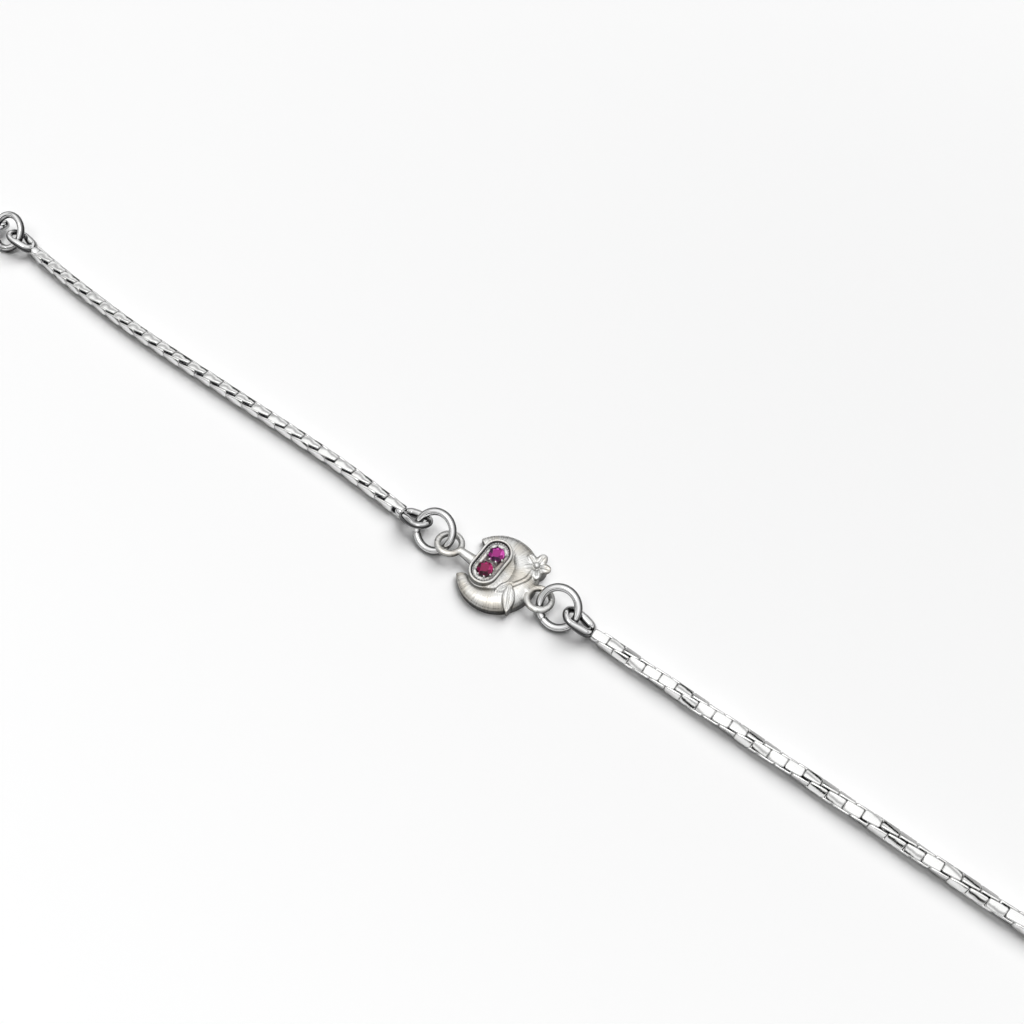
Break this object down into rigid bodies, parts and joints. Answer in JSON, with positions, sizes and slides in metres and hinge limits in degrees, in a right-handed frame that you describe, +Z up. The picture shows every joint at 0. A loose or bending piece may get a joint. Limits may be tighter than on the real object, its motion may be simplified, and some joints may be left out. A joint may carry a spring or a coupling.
{
  "type": "chain bracelet",
  "caption": "Fine silver box-link bracelet, closed, with a small stone-set crescent ornament between jump rings and a spring-ring clasp.",
  "frame": {"origin": "bottom centre of the closed bracelet's bounding box, on the surface that it lies on", "axes": "+X along the straight front stretch from the clasp side to the long chain, +Y from the loop's hidden side to the front stretch, +Z up from the surface"},
  "size_m": [0.0866, 0.0384, 0.0022],
  "materials": {
    "polished_silver": "bright polished sterling silver",
    "satin_silver": "whitened satin cast silver",
    "pink_stone": "faceted, polished, magenta pink",
    "red_stone": "faceted, polished, ruby red"
  },
  "bodies": {
    "root": {"centre_ornament": "satin_silver", "stone_upper": "pink_stone", "stone_lower": "red_stone", "jump_ring_left": "polished_silver", "jump_ring_right": "polished_silver", "jump_ring_clasp": "polished_silver", "jump_ring_end": "polished_silver", "end_eye_short_outer": "polished_silver", "end_eye_short_inner": "polished_silver", "end_eye_long_inner": "polished_silver", "end_eye_long_outer": "polished_silver", "chain_short": "polished_silver", "chain_long": "polished_silver", "clasp": "polished_silver"}
  },
  "joints": []
}
